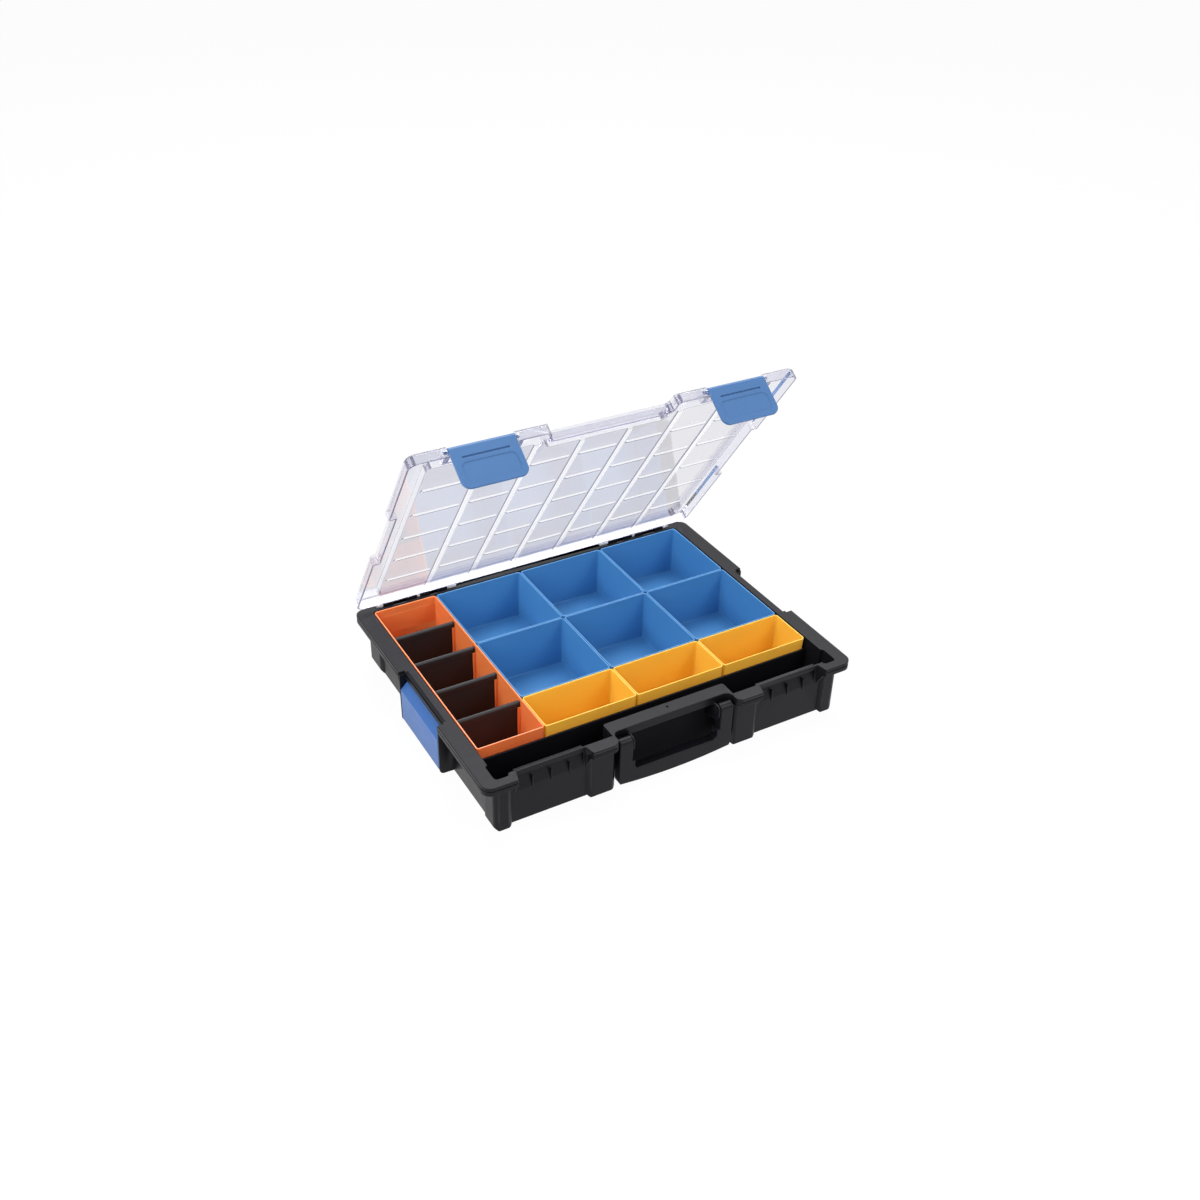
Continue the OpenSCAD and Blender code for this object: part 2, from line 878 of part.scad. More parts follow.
module carry_handle() {
    arm_in = handle_w / 2 - arm_w;
    color(charcoal)
        difference() {
            union() {
                translate([0, pivot_y + handle_t / 2, 0])
                    rotate([90, 0, 0])
                        linear_extrude(handle_t)
                            difference() {
                                intersection() {
                                    union() {
                                        rounded_area(-handle_w / 2, handle_w / 2, grip_low, pivot_z, arm_r);
                                        translate([-handle_w / 2, grip_top])
                                            square([handle_w, pivot_z - grip_top]);
                                    }
                                    translate([0, grip_low + bow_r])
                                        circle(bow_r, $fn = 480);
                                }
                                rounded_area(
                                    -arm_in + arm_step, arm_in - arm_step, grip_top, pivot_z, grip_r
                                );
                                translate([-arm_in, pivot_z - arm_top])
                                    square([2 * arm_in, far]);
                            }
                for (s = [-1, 1])
                    translate([s * (handle_w / 2 - arm_w / 2), 0, 0]) {
                        bar_x(-arm_w / 2, arm_w / 2, pivot_y, pivot_z, handle_t / 2);
                        bar_x(
                            min(-s * (arm_w / 2 + pin_in), s * (arm_w / 2 + pin_out)),
                            max(-s * (arm_w / 2 + pin_in), s * (arm_w / 2 + pin_out)),
                            pivot_y, pivot_z, pivot_r
                        );
                    }
            }
            translate([-arm_in + grip_hollow_x, pivot_y, grip_low + grip_bow + grip_hollow_z])
                cube([
                    2 * (arm_in - grip_hollow_x), far,
                    grip_top - grip_low - grip_bow - 2 * grip_hollow_z
                ]);
        }
}

// Stacking clip of the right side.
module clip_body() {
    in = clip_out - clip_t;
    low = clip_axis_z - clip_barrel;
    hook = clip_axis_x - clip_back;
    rise = clip_out + clip_crease - clip_t * sqrt(2);
    translate([0, clip_y + clip_w / 2, 0])
        rotate([90, 0, 0])
            linear_extrude(clip_w) {
                polygon([
                    [clip_out, low], [clip_out, clip_crease], [clip_axis_x, clip_top],
                    [hook - clip_hook, clip_top], [hook - clip_hook, clip_top - clip_hook_h],
                    [hook, clip_top - clip_hook_h],
                    [hook, rise - hook], [in, rise - in], [in, low]
                ]);
                translate([clip_axis_x, low])
                    square([in - clip_axis_x + clip_root, clip_foot]);
            }
    for (i = [0:clip_ribs - 1])
        translate([0, clip_y + (i + 0.5) * clip_w / clip_ribs - clip_w / 2 + clip_rib_t / 2, 0])
            rotate([90, 0, 0])
                linear_extrude(clip_rib_t)
                    polygon([
                        [clip_axis_x, low + clip_rib_set], [in + clip_root, low + clip_rib_set],
                        [in + clip_root, rise - in],
                        [clip_axis_x + clip_rib_set, rise - clip_axis_x - clip_rib_set]
                    ]);
    bar_y(clip_y - clip_w / 2, clip_y + clip_w / 2, clip_axis_x, clip_axis_z, clip_barrel);
    bar_y(
        clip_y - clip_w / 2 - slack - clip_stub, clip_y + clip_w / 2 + slack + clip_stub,
        clip_axis_x, clip_axis_z, stub_r
    );
}

module right_side_clip() {
    color(latch_blue)
        clip_body();
}

module left_side_clip() {
    color(latch_blue)
        mirror([1, 0, 0])
            clip_body();
}

module hinge_pin(s) {
    color(steel)
        bar_x(
            min(s * hinge_from, s * hinge_to), max(s * hinge_from, s * hinge_to),
            hinge_y, hinge_z, pin_d / 2
        );
}

module left_hinge_pin() {
    hinge_pin(-1);
}

module right_hinge_pin() {
    hinge_pin(1);
}

// Block with round corners and walls that lean in from z1 down.
module drafted(x0, x1, y0, y1, z0, z1, r, over) {
    deep = 2 * (z1 - z0);
    difference() {
        rounded_block(x0, x1, y0, y1, z0, z1 + over, r);
        translate([x1, y0 - cut, z1])
            rotate([0, lean, 0])
                translate([0, 0, -deep])
                    cube([far, y1 - y0 + 2 * cut, deep]);
        translate([x0, y0 - cut, z1])
            rotate([0, -lean, 0])
                translate([-far, 0, -deep])
                    cube([far, y1 - y0 + 2 * cut, deep]);
        translate([x0 - cut, y1, z1])
            rotate([-lean, 0, 0])
                translate([0, 0, -deep])
                    cube([x1 - x0 + 2 * cut, far, deep]);
        translate([x0 - cut, y0, z1])
            rotate([lean, 0, 0])
                translate([0, -far, -deep])
                    cube([x1 - x0 + 2 * cut, far, deep]);
    }
}

// Loose bin that fills a field of the grid.
module bin(x0, x1, y0, y1) {
    g = bin_gap / 2;
    w = g + bin_wall;
    difference() {
        drafted(x0 + g, x1 - g, y0 + g, y1 - g, bin_seat, bin_top, bin_corner, 0);
        drafted(
            x0 + w, x1 - w, y0 + w, y1 - w, bin_seat + bin_floor, bin_top,
            bin_corner - bin_wall, cut
        );
    }
}

// Field of the grid: column from the left, first row from the back, and how many rows deep.
module grid_bin(column, row, deep) {
    x = bins_left + long_w + 2 * column * grid;
    y = bin_back - row * row_step;
    bin(x, x + 2 * grid, y - deep * row_step, y);
}

module orange_long_bin() {
    x0 = bins_left;
    x1 = bins_left + long_w;
    y0 = bins_front;
    g = bin_gap / 2;
    slot = divider_t / 2 + guide_play;
    guide = bin_wall + guide_in;
    color(bin_orange) {
        bin(x0, x1, y0, bin_back);
        intersection() {
            drafted(x0 + g, x1 - g, y0 + g, bin_back - g, bin_seat, bin_top, bin_corner, 0);
            union() {
                for (i = [1:rows - 1], t = [-1, 1], x = [x0, x1 - guide])
                    translate([
                        x, bin_back - i * row_step + t * (slot + guide_t / 2) - guide_t / 2,
                        bin_seat + guide_root
                    ])
                        cube([guide, guide_t, guide_top - bin_seat - guide_root]);
                for (y = [y0, bin_back - bin_wall - pad_t])
                    translate([x0 + guide_root, y, bin_seat + guide_root])
                        cube([long_w - 2 * guide_root, bin_wall + pad_t, bin_h - pad_drop]);
            }
        }
    }
}

module divider(i) {
    side = bin_gap / 2 + bin_wall;
    plate_from = bins_left + side + bin_draft + divider_play;
    plate_to = bins_left + long_w - side - bin_draft - divider_play;
    bar_from = bins_left + side + bar_play;
    bar_to = bins_left + long_w - side - bar_play;
    low = bin_seat + bin_floor + divider_play;
    y = bin_back - i * row_step;
    color(soot) {
        translate([plate_from, y - divider_t / 2, low])
            cube([plate_to - plate_from, divider_t, divider_top - bar_w / 2 - low]);
        translate([bar_from, y - bar_w / 2, divider_top - bar_h])
            cube([bar_to - bar_from, bar_w, bar_h - bar_w / 2]);
        bar_x(bar_from, bar_to, y, divider_top - bar_w / 2, bar_w / 2);
    }
}

module divider_1() {
    divider(1);
}

module divider_2() {
    divider(2);
}

module divider_3() {
    divider(3);
}

module divider_4() {
    divider(4);
}

module blue_bin_back_left() {
    color(bin_blue)
        grid_bin(0, 0, 2);
}

module blue_bin_back_middle() {
    color(bin_blue)
        grid_bin(1, 0, 2);
}

module blue_bin_back_right() {
    color(bin_blue)
        grid_bin(2, 0, 2);
}

module blue_bin_front_left() {
    color(bin_blue)
        grid_bin(0, 2, 2);
}

module blue_bin_front_middle() {
    color(bin_blue)
        grid_bin(1, 2, 2);
}

module blue_bin_front_right() {
    color(bin_blue)
        grid_bin(2, 2, 2);
}

module yellow_bin_left() {
    color(bin_yellow)
        grid_bin(0, 4, 1);
}

module yellow_bin_middle() {
    color(bin_yellow)
        grid_bin(1, 4, 1);
}

module yellow_bin_right() {
    color(bin_yellow)
        grid_bin(2, 4, 1);
}

base_tray();
lid();
left_latch();
right_latch();
carry_handle();
left_side_clip();
right_side_clip();
left_hinge_pin();
right_hinge_pin();
orange_long_bin();
divider_1();
divider_2();
divider_3();
divider_4();
blue_bin_back_left();
blue_bin_back_middle();
blue_bin_back_right();
blue_bin_front_left();
blue_bin_front_middle();
blue_bin_front_right();
yellow_bin_left();
yellow_bin_middle();
yellow_bin_right();
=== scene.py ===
import math

import bmesh
import bpy
from mathutils import Matrix, Vector, geometry


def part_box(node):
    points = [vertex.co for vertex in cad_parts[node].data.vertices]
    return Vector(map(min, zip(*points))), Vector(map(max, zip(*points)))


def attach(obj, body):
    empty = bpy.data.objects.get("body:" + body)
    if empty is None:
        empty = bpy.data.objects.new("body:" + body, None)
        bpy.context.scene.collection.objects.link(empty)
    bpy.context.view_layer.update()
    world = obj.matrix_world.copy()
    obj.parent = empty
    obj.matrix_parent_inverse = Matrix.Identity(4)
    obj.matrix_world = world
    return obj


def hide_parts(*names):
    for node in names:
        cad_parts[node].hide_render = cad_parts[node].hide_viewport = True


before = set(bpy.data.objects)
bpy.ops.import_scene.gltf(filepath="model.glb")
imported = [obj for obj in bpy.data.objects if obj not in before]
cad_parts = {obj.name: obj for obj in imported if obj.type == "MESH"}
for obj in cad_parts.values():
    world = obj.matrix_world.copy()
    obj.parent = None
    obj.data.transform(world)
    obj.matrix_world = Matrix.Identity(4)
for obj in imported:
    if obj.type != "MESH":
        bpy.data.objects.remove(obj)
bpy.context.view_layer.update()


# Tray
# The black lower half: one deep injection moulding of polypropylene with a turned-down rim, corner
# columns, latch recesses and a bay for the handle. Its edges come out of the mould with a small radius.
MM = 0.001
tray_edge = 0.7 * MM
tray_steps = 3
grain_size = 2.4 * MM
inside_top = 60 * MM
floor_top = 15 * MM
bay_back, bay_half = -139 * MM, 69 * MM


def linear(hex_colour):
    """Turns an sRGB hex value into the linear colour that a shader socket takes."""
    parts = [int(hex_colour[i:i + 2], 16) / 255 for i in (1, 3, 5)]
    return [p / 12.92 if p <= 0.04045 else ((p + 0.055) / 1.055) ** 2.4 for p in parts] + [1.0]


def add(tree, kind, sockets=None, links=None, **settings):
    """Adds one shader node with its settings, its socket values and the links into it."""
    node = tree.nodes.new("ShaderNode" + kind)
    for name, value in settings.items():
        setattr(node, name, value)
    for name, value in (sockets or {}).items():
        node.inputs[name].default_value = value
    for name, source in (links or {}).items():
        tree.links.new(source, node.inputs[name])
    return node


def empty_material(name):
    """A new material and its node tree, with no nodes in it."""
    material = bpy.data.materials.new(name)
    material.use_nodes = True
    material.node_tree.nodes.clear()
    return material, material.node_tree


def distance_to(edge, spot):
    """Distance from a point to an edge of a bmesh."""
    start, end = (v.co for v in edge.verts)
    share = geometry.intersect_point_line(spot, start, end)[1]
    return (start.lerp(end, min(1, max(0, share))) - spot).length


def folds(shape):
    """Middles of the edges at which a face lies back on its neighbour, or has none."""
    folded_back = -0.97
    shape.normal_update()
    return [
        (e.verts[0].co + e.verts[1].co) / 2 for e in shape.edges
        if len(e.link_faces) != 2 or e.link_faces[0].normal.dot(e.link_faces[1].normal) < folded_back]


def round_once(node, edge, steps, sharp, left_sharp, reach):
    """Bmesh of a CAD node with flat faces joined and outer edges rounded, except near some places."""
    weld, speck = 0.004 * MM, 0.02 * MM
    flat_within = math.radians(1)
    least_length, least_width = 0.5 * edge, 2.2 * edge
    shape = bmesh.new()
    shape.from_mesh(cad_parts[node].data)
    bmesh.ops.remove_doubles(shape, verts=shape.verts, dist=weld)
    bmesh.ops.dissolve_limit(shape, angle_limit=flat_within, verts=shape.verts, edges=shape.edges)
    hard = [e for e in shape.edges if e.is_convex and e.calc_face_angle() > math.radians(sharp)]
    short = {v for e in hard for v in e.verts if e.calc_length() < least_length}
    hard = [e for e in hard if not short & set(e.verts)]
    hard = [e for e in hard if min(f.calc_area() for f in e.link_faces) > least_width * e.calc_length()]
    hard = [e for e in hard if all(distance_to(e, spot) > reach for spot in left_sharp)]
    bmesh.ops.bevel(
        shape, geom=hard, offset=edge, offset_type="OFFSET", segments=steps, profile=0.5,
        affect="EDGES", material=-1, clamp_overlap=False)
    bmesh.ops.dissolve_degenerate(shape, dist=speck, edges=shape.edges)
    return shape


def rounded_copy(node, edge, steps=2, sharp=35):
    """Bmesh of a CAD node, rounded at edges over so many degrees, but not where that folds a face."""
    shape = round_once(node, edge, steps, sharp, [], 0)
    left_sharp = folds(shape)
    for widths in (1.5, 2.5, 4):
        if not folds(shape):
            break
        shape.free()
        shape = round_once(node, edge, steps, sharp, left_sharp, widths * edge)
        left_sharp += folds(shape)
    return shape


def piece_from(shape, name, material, body, slot, *nodes):
    """Makes a bmesh a smooth-shaded piece that rides on a body and stands for its CAD nodes."""
    crease = math.radians(50)
    bmesh.ops.recalc_face_normals(shape, faces=shape.faces)
    mesh = bpy.data.meshes.new(name)
    shape.to_mesh(mesh)
    shape.free()
    mesh.shade_smooth()
    mesh.set_sharp_from_angle(angle=crease)
    mesh.materials.append(material)
    piece = bpy.data.objects.new(name, mesh)
    bpy.context.scene.collection.objects.link(piece)
    normals = piece.modifiers.new("even_shading", "WEIGHTED_NORMAL")
    normals.keep_sharp = True
    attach(piece, body)
    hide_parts(*nodes)
    return piece


def moulded_plastic(name, colour, pale, roughness, shine, grain, depth, milky=0.0):
    """Injection-moulded polypropylene: even colour with a slow drift, and a fine eroded mould grain."""
    drift_size, smear_size = 70 * MM, 14 * MM
    uneven_gloss = 0.07
    light_depth = 3 * MM
    material, tree = empty_material(name)
    place = add(tree, "TexCoord").outputs["Object"]
    drift = add(tree, "TexNoise", {"Scale": 1 / drift_size, "Detail": 2.0}, {"Vector": place})
    smear = add(tree, "TexNoise", {"Scale": 1 / smear_size, "Detail": 4.0}, {"Vector": place})
    pitted = add(tree, "TexNoise", {"Scale": 1 / grain, "Detail": 3.0}, {"Vector": place})
    tone = add(
        tree, "Mix", {"A": linear(colour), "B": linear(pale)}, {"Factor": drift.outputs["Fac"]},
        data_type="RGBA")
    gloss = add(
        tree, "MapRange", {"To Min": roughness - uneven_gloss, "To Max": roughness + uneven_gloss},
        {"Value": smear.outputs["Fac"]})
    bump = add(tree, "Bump", {"Strength": 0.2, "Distance": depth}, {"Height": pitted.outputs["Fac"]})
    shader = add(
        tree, "BsdfPrincipled",
        {"IOR": 1.49, "Specular IOR Level": shine, "Subsurface Weight": milky,
         "Subsurface Radius": (1.0, 1.0, 1.0), "Subsurface Scale": light_depth},
        {"Base Color": tone.outputs["Result"], "Roughness": gloss.outputs["Result"],
         "Normal": bump.outputs["Normal"]})
    add(tree, "OutputMaterial", links={"Surface": shader.outputs["BSDF"]})
    return material


def gets_painted_shade(spot, facing):
    """Whether a face of the tray gets the painted shade: the inside, the floor and the bay's back."""
    straight, leaning = 0.9, 0.5
    inward = spot.xy.normalized().dot(facing.xy) < -leaning and spot.z < inside_top
    on_floor = facing.z > straight and spot.z < floor_top
    in_bay = facing.y < -straight and spot.y > bay_back and abs(spot.x) < bay_half
    return inward or on_floor or in_bay


# Black polypropylene, eroded mould finish: a dull sheen that only picks out the rounded edges. A rougher
# copy that hardly shines is painted shade, put on the inside, the floor and the back of the bay, where
# shade falls.
# The real grain is about 0.2 mm; it is drawn at 2.4 mm so that it shows.
black_polypropylene = moulded_plastic(
    "black_polypropylene", "#0c0c11", "#121217", 0.37, 0.17, grain_size, 0.06 * MM)
painted_shade_polypropylene = moulded_plastic(
    "black_polypropylene_painted_shade", "#111115", "#151519", 0.6, 0.04, grain_size, 0.1 * MM)
tray_shape = rounded_copy("base_tray", tray_edge, tray_steps)
bmesh.ops.recalc_face_normals(tray_shape, faces=tray_shape.faces)
# Faces where shade falls take the second material, the painted-shade copy of the black plastic.
for face in tray_shape.faces:
    face.material_index = int(gets_painted_shade(face.calc_center_median(), face.normal))
tray_piece = piece_from(
    tray_shape, "tray_moulding", black_polypropylene, "base", "tray_black", "base_tray")
tray_piece.data.materials.append(painted_shade_polypropylene)


# Hinge pins
# Two lengths of drawn steel wire, pressed into the knuckles at the back of the tray. The lid turns on them.
pin_edge = 0.3 * MM


def drawn_steel():
    """Bright drawn wire: fine lines along its length break up the reflection. Drawn coarser than real."""
    line_length, line_width = 9 * MM, 0.25 * MM
    material, tree = empty_material("drawn_steel_wire")
    place = add(tree, "TexCoord").outputs["Object"]
    along = add(
        tree, "Mapping", {"Scale": (1 / line_length, 1 / line_width, 1 / line_width)}, {"Vector": place})
    lines = add(tree, "TexNoise", {"Scale": 1.0, "Detail": 2.0}, {"Vector": along.outputs["Vector"]})
    gloss = add(tree, "MapRange", {"To Min": 0.2, "To Max": 0.38}, {"Value": lines.outputs["Fac"]})
    bump = add(tree, "Bump", {"Strength": 0.2, "Distance": 0.01 * MM}, {"Height": lines.outputs["Fac"]})
    shader = add(
        tree, "BsdfPrincipled", {"Base Color": linear("#b9babd"), "Metallic": 1.0},
        {"Roughness": gloss.outputs["Result"], "Normal": bump.outputs["Normal"]})
    add(tree, "OutputMaterial", links={"Surface": shader.outputs["BSDF"]})
    return material


steel_wire = drawn_steel()
for side in ("left", "right"):
    piece_from(
        rounded_copy(f"{side}_hinge_pin", pin_edge), f"{side}_pin_wire", steel_wire,
        "base", "pin_steel", f"{side}_hinge_pin")


# Lid
# One clear moulding of polycarbonate: a raised channel round a sunk panel, with a grid of ribs on the
# inner face. It hangs on the two pins and carries the latches on stubs in its front ears.
lid_edge = 0.35 * MM
lid_lean = math.radians(55)
pin_low, pin_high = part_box("left_hinge_pin")
hinge_axis = Vector((0, *((pin_low + pin_high) / 2).yz))
lug_reach = 9 * MM
panel_half = 194 * MM
panel_front, panel_back = -312 * MM, -24 * MM
panel_under = 0.1 * MM
panel_play = 0.05 * MM
rib_step, flat_rib_half = 54.4 * MM, 3.3 * MM
SHELL, ETCHED, RIB_BACK_PAINTED_HIGHLIGHT, RIB_SIDE_PAINTED_SHADE, EDGE_PAINTED_SHADE, PANEL_TOP, LUG = range(7)


def ripple_and_haze(tree, dull):
    """Normal and roughness of a thin clear moulding: a slow ripple, and a faint haze of handling marks."""
    ripple_size, haze_size = 45 * MM, 9 * MM
    haze = 0.05
    place = add(tree, "TexCoord").outputs["Object"]
    ripple = add(tree, "TexNoise", {"Scale": 1 / ripple_size, "Detail": 1.0}, {"Vector": place})
    marks = add(tree, "TexNoise", {"Scale": 1 / haze_size, "Detail": 3.0}, {"Vector": place})
    bump = add(tree, "Bump", {"Strength": 0.2, "Distance": 0.5 * MM}, {"Height": ripple.outputs["Fac"]})
    gloss = add(tree, "MapRange", {"To Min": dull, "To Max": dull + haze}, {"Value": marks.outputs["Fac"]})
    return bump.outputs["Normal"], gloss.outputs["Result"]


def clear_sheet(name, tint, shine):
    """Clear polycarbonate in a thin wall: it shows what is behind it, and mirrors more at a slant."""
    straight_on, polish = 0.04, 0.02
    material, tree = empty_material(name)
    normal, gloss = ripple_and_haze(tree, polish)
    facing = add(tree, "LayerWeight", {"Blend": 0.5}, {"Normal": normal}).outputs["Facing"]
    slant = add(tree, "Math", {1: 5.0}, {0: facing}, operation="POWER")
    mirrored = add(
        tree, "Math", {1: (1 - straight_on) * shine, 2: straight_on * shine}, {0: slant.outputs[0]},
        operation="MULTIPLY_ADD")
    through = add(tree, "BsdfTransparent", {"Color": linear(tint)})
    mirror = add(tree, "BsdfGlossy", {"Color": linear("#ffffff")}, {"Roughness": gloss, "Normal": normal})
    sheet = add(
        tree, "MixShader", {}, {0: mirrored.outputs[0], 1: through.outputs[0], 2: mirror.outputs[0]})
    add(tree, "OutputMaterial", links={"Surface": sheet.outputs[0]})
    return material


def clear_solid(name, tint, alpha, dull, clarity):
    """Clear polycarbonate in a thick or curved place, where it bends what is behind it."""
    material, tree = empty_material(name)
    normal, gloss = ripple_and_haze(tree, dull)
    shader = add(
        tree, "BsdfPrincipled",
        {"Base Color": linear(tint), "IOR": 1.5, "Transmission Weight": clarity, "Alpha": alpha},
        {"Roughness": gloss, "Normal": normal})
    add(tree, "OutputMaterial", links={"Surface": shader.outputs["BSDF"]})
    return material


def lid_finish(spot, facing):
    """Finish of a face of the closed lid, from its middle and the way it faces; ribs and edges get painted
    light.
    """
    straight, nearly_straight, square, leaning = 0.9, 0.8, 0.97, 0.3
    over_panel = abs(spot.x) < panel_half and panel_front < spot.y < panel_back
    if spot.yz.length < lug_reach:
        return LUG
    if over_panel and abs(spot.z - panel_under) < panel_play:
        return ETCHED
    if over_panel and spot.z < panel_under:
        on_flat_rib = abs(spot.x / rib_step % 1 - 0.5) * rib_step < flat_rib_half
        # Flat rib backs and the front sides of cross ribs get the painted highlight, other rib faces the
        # painted shade.
        painted_highlight = facing.z < -nearly_straight if on_flat_rib else facing.y < -leaning
        return RIB_BACK_PAINTED_HIGHLIGHT if painted_highlight else RIB_SIDE_PAINTED_SHADE
    if over_panel and facing.z > straight:
        return PANEL_TOP
    # Faces off the main axes, the rounded edges, get the painted-shade grey tint.
    return EDGE_PAINTED_SHADE if max(abs(c) for c in facing) < square else SHELL


lid_shape = rounded_copy("lid", lid_edge)
bmesh.ops.recalc_face_normals(lid_shape, faces=lid_shape.faces)
to_closed = Matrix.Rotation(lid_lean, 3, "X")
for face in lid_shape.faces:
    face.material_index = lid_finish(
        to_closed @ (face.calc_center_median() - hinge_axis), to_closed @ face.normal)
# The shell is polished. The inner face of the panel is finely etched and greys what is behind it. The
# backs of the flat ribs and the front sides of the cross ribs carry a painted highlight: a white sheet that
# mirrors little, so they show brighter. Edges and the other rib sides refract, and their dark grey tint is
# painted shade that draws the outline. The thick hinge lugs are a little cloudy.
lid_piece = piece_from(
    lid_shape, "lid_moulding", clear_sheet("clear_polycarbonate_shell", "#f4f4f8", 1.0),
    "lid", "lid_clear", "lid")
for finish in (
        clear_sheet("clear_polycarbonate_etched", "#e7e6ea", 1.0),
        clear_sheet("clear_polycarbonate_rib_backs_painted_highlight", "#ffffff", 0.25),
        clear_solid("clear_polycarbonate_rib_sides_painted_shade", "#50506a", 0.95, 0.02, 1.0),
        clear_solid("clear_polycarbonate_edges_painted_shade", "#8c8ca2", 0.95, 0.02, 1.0),
        clear_sheet("clear_polycarbonate_panel_top", "#fafafc", 0.4),
        clear_solid("clear_polycarbonate_lugs", "#f4f4f8", 0.9, 0.3, 0.5)):
    lid_piece.data.materials.append(finish)
lid_piece.visible_shadow = False


# Latches
# Two blue flaps, snapped onto the stubs of the lid. A hook behind each grips the lip of the tray when shut.
# Blue polypropylene with a satin mould finish: soft broad highlights along its rounded edges.
latch_edge = 0.5 * MM
latch_polypropylene = moulded_plastic(
    "latch_blue_polypropylene", "#446998", "#4a6f9e", 0.36, 0.2, grain_size, 0.03 * MM)
for side in ("left", "right"):
    piece_from(
        rounded_copy(f"{side}_latch", latch_edge), f"{side}_latch_flap", latch_polypropylene,
        f"{side}_latch", "latch_blue", f"{side}_latch")


# Carry handle
# A black U with a bowed grip bar, hollow at the back, that swings on stubs in the bay walls. It is
# moulded in the same black polypropylene as the tray.
handle_edge = 1.2 * MM
handle_steps = 3
piece_from(
    rounded_copy("carry_handle", handle_edge, handle_steps), "carry_handle_moulding", black_polypropylene,
    "handle", "tray_black", "carry_handle")


# Side clips
# A blue flap on each side that swings out to couple one case to the next. It turns on stubs in the cheeks.
# Blue polypropylene like the latches, a shade deeper in colour.
clip_edge = 0.5 * MM
clip_polypropylene = moulded_plastic(
    "clip_blue_polypropylene", "#325b98", "#38619e", 0.36, 0.24, grain_size, 0.03 * MM)
for side in ("left", "right"):
    piece_from(
        rounded_copy(f"{side}_side_clip", clip_edge), f"{side}_clip_flap", clip_polypropylene,
        f"{side}_clip", "latch_blue", f"{side}_side_clip")


# Loose bins
# Thin open boxes that drop into the tray on a common grid: six blue, three yellow. Their walls lean in
# towards the foot so that they leave the mould, and rim, corners and floor edges are rounded.
bin_wall = 1.2 * MM
bin_floor = 1.8 * MM
bin_draft = 1.2 * MM
bin_corner, bin_corner_steps = 3.5 * MM, 6
bin_rim_round = 0.4 * MM
bin_floor_round = 1.0 * MM
bin_foot_round = 1.2 * MM
bin_round_steps = 3
bin_grain = 4 * MM
level_within = 0.02 * MM


def at_height(shape, height):
    """Edges that lie level at one height, where two faces meet at an angle."""
    least_angle = math.radians(30)
    level = [e for e in shape.edges if all(abs(v.co.z - height) < level_within for v in e.verts)]
    return [e for e in level if e.calc_face_angle() > least_angle]


def bin_shape(node):
    """Bmesh of an open box that fills the place of its CAD node."""
    corner_weld = 0.3 * MM
    low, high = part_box(node)
    middle = (low + high) / 2
    floor_height = low.z + bin_floor
    shape = bmesh.new()
    bmesh.ops.create_cube(shape, size=1)
    bmesh.ops.scale(shape, vec=high - low, verts=shape.verts)
    bmesh.ops.translate(shape, vec=middle, verts=shape.verts)
    for v in (v for v in shape.verts if v.co.z < middle.z):
        v.co.x -= math.copysign(bin_draft, v.co.x - middle.x)
        v.co.y -= math.copysign(bin_draft, v.co.y - middle.y)
    uprights = [e for e in shape.edges if abs(e.verts[0].co.z - e.verts[1].co.z) > bin_floor]
    bmesh.ops.bevel(
        shape, geom=uprights, offset=bin_corner, offset_type="OFFSET", segments=bin_corner_steps,
        profile=0.5, affect="EDGES", material=-1)
    top = max(shape.faces, key=lambda f: f.calc_center_median().z)
    bmesh.ops.inset_region(shape, faces=[top], thickness=bin_wall, use_even_offset=True)
    bmesh.ops.inset_region(
        shape, faces=[top], thickness=bin_draft, depth=floor_height - high.z, use_even_offset=True)
    for height, radius in (
            (high.z, bin_rim_round), (floor_height, bin_floor_round), (low.z, bin_foot_round)):
        bmesh.ops.bevel(
            shape, geom=at_height(shape, height), offset=radius, offset_type="OFFSET",
            segments=bin_round_steps, profile=0.5, affect="EDGES", material=-1)
    floor = max(
        (f for f in shape.faces if abs(f.calc_center_median().z - floor_height) < level_within),
        key=lambda f: f.calc_area())
    bmesh.ops.remove_doubles(shape, verts=floor.verts, dist=corner_weld)
    return shape


# Blue and yellow polypropylene, lightly polished mould: clean colour with a satin sheen on floors and rims.
# The real grain is finer than 0.1 mm; it is drawn at 4 mm, and shallow, so that it just shows in the sheen.
blue_polypropylene = moulded_plastic(
    "bin_blue_polypropylene", "#4583ba", "#4b8ac0", 0.37, 0.5, bin_grain, 0.02 * MM, 0.1)
yellow_polypropylene = moulded_plastic(
    "bin_yellow_polypropylene", "#efba42", "#f1be49", 0.37, 0.5, bin_grain, 0.02 * MM, 0.7)
for column in ("left", "middle", "right"):
    for row in ("back", "front"):
        node = f"blue_bin_{row}_{column}"
        piece_from(
            bin_shape(node), f"{node}_box", blue_polypropylene, f"blue_{row}_{column}", "bin_blue", node)
    node = f"yellow_bin_{column}"
    piece_from(
        bin_shape(node), f"{node}_box", yellow_polypropylene, f"yellow_{column}", "bin_yellow", node)


# Long bin and its dividers
# An orange box along the left side with paired guide ribs on its walls. Four black dividers, each with a
# thick rounded bar along its top, slide down between the guides. All are moulded in polypropylene.
long_bin_edge = 0.4 * MM
long_bin_sharp = 60
divider_edge = 0.4 * MM
divider_count = 4
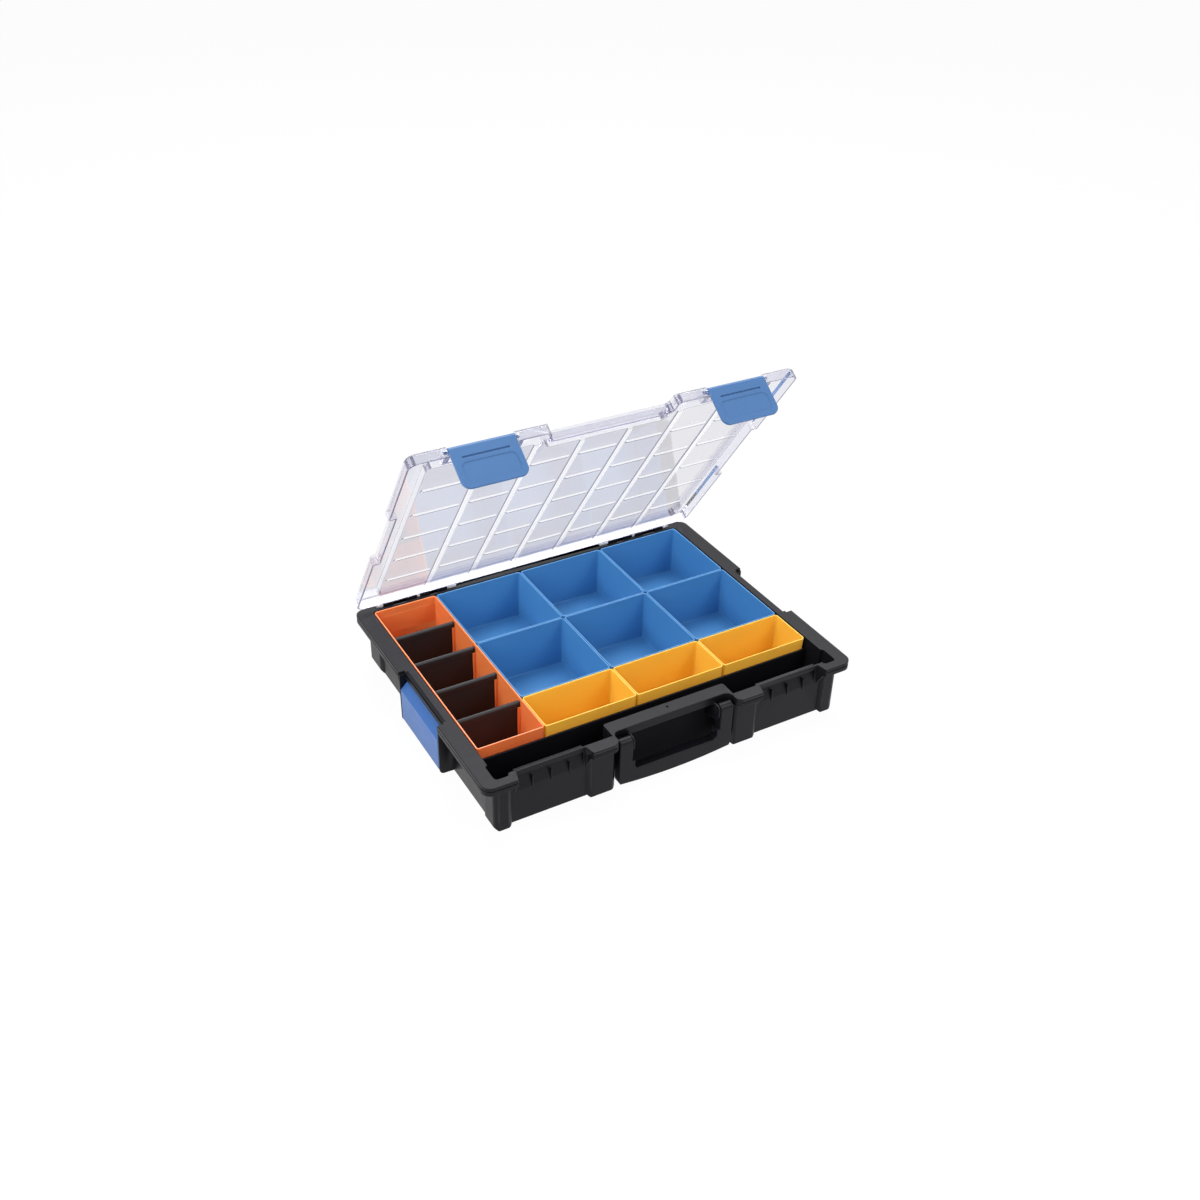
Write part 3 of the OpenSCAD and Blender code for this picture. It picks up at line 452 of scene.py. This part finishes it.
# Orange as the other bins. The dividers are black with a touch of brown and a low sheen.
orange_polypropylene = moulded_plastic(
    "bin_orange_polypropylene", "#ec7f44", "#ee854b", 0.37, 0.5, bin_grain, 0.02 * MM, 0.7)
soot_polypropylene = moulded_plastic(
    "divider_black_polypropylene", "#211f21", "#272527", 0.4, 0.25, grain_size, 0.04 * MM)
piece_from(
    rounded_copy("orange_long_bin", long_bin_edge, sharp=long_bin_sharp), "orange_long_bin_box",
    orange_polypropylene, "long_bin", "bin_orange", "orange_long_bin")
for number in range(1, divider_count + 1):
    piece_from(
        rounded_copy(f"divider_{number}", divider_edge), f"divider_{number}_plate", soot_polypropylene,
        f"divider_{number}", "divider_black", f"divider_{number}")


# Studio
# A white sweep under soft light from above, seen from the left of the case's front.
floor_size = 12.0
paper_lift = 0.96
sky_fill, sky_seen = 0.3, 1.0
sensor_width, lens = 36, 39.455
camera_place = (-0.60035, -1.01708, 0.89998)
camera_turn = (56.309, -1.199, -29.8)


def seen_plainly(tree):
    """Socket that is 1 for what is seen straight on, in a mirror or through glass, and else 0."""
    rays = add(tree, "LightPath").outputs
    seen = add(
        tree, "Math", {}, {0: rays["Is Camera Ray"], 1: rays["Is Glossy Ray"]}, operation="MAXIMUM")
    seen = add(
        tree, "Math", {}, {0: seen.outputs[0], 1: rays["Is Transmission Ray"]}, operation="MAXIMUM")
    return seen.outputs[0]


floor_mesh = bpy.data.meshes.new("studio_floor")
sheet = bmesh.new()
bmesh.ops.create_grid(sheet, x_segments=1, y_segments=1, size=floor_size / 2)
sheet.to_mesh(floor_mesh)
sheet.free()
studio_floor = bpy.data.objects.new("studio_floor", floor_mesh)
bpy.context.scene.collection.objects.link(studio_floor)

# Matt white paper. Where it is seen plainly it is lifted to white, and the shadow stays.
white_paper, tree = empty_material("white_paper")
lift = add(tree, "Math", {1: paper_lift}, {0: seen_plainly(tree)}, operation="MULTIPLY")
paper = add(tree, "BsdfDiffuse", {"Color": linear("#f2f2f2")})
glow = add(tree, "Emission", {"Color": linear("#ffffff"), "Strength": 1.0})
blend = add(tree, "MixShader", {}, {0: lift.outputs[0], 1: paper.outputs[0], 2: glow.outputs[0]})
add(tree, "OutputMaterial", links={"Surface": blend.outputs[0]})
floor_mesh.materials.append(white_paper)

studio = bpy.data.worlds.new("studio")
studio.use_nodes = True
bpy.context.scene.world = studio
tree = studio.node_tree
tree.nodes.clear()
level = add(tree, "MapRange", {"To Min": sky_fill, "To Max": sky_seen}, {"Value": seen_plainly(tree)})
sky = add(tree, "Background", {"Color": linear("#ffffff")}, {"Strength": level.outputs["Result"]})
add(tree, "OutputWorld", links={"Surface": sky.outputs[0]})

for name, place, size, power in (
        ("key_softbox", (0.8, -1.2, 1.2), 0.7, 9.0),
        ("left_softbox", (-1.4, -0.1, 1.0), 1.0, 21.0),
        ("front_softbox", (-0.2, -1.6, 0.7), 1.0, 5.0),
        ("top_softbox", (0.64, 1.12, 2.4), 1.9, 82.0)):
    lamp = bpy.data.lights.new(name, "AREA")
    lamp.size = size
    lamp.energy = power
    holder = bpy.data.objects.new(name, lamp)
    holder.location = place
    holder.rotation_euler = (-Vector(place)).to_track_quat("-Z", "Y").to_euler()
    bpy.context.scene.collection.objects.link(holder)

camera_data = bpy.data.cameras.new("camera")
camera_data.sensor_width = sensor_width
camera_data.lens = lens
camera = bpy.data.objects.new("camera", camera_data)
camera.location = camera_place
camera.rotation_euler = [math.radians(a) for a in camera_turn]
bpy.context.scene.collection.objects.link(camera)
bpy.context.scene.camera = camera
bpy.context.scene.view_settings.view_transform = "Standard"
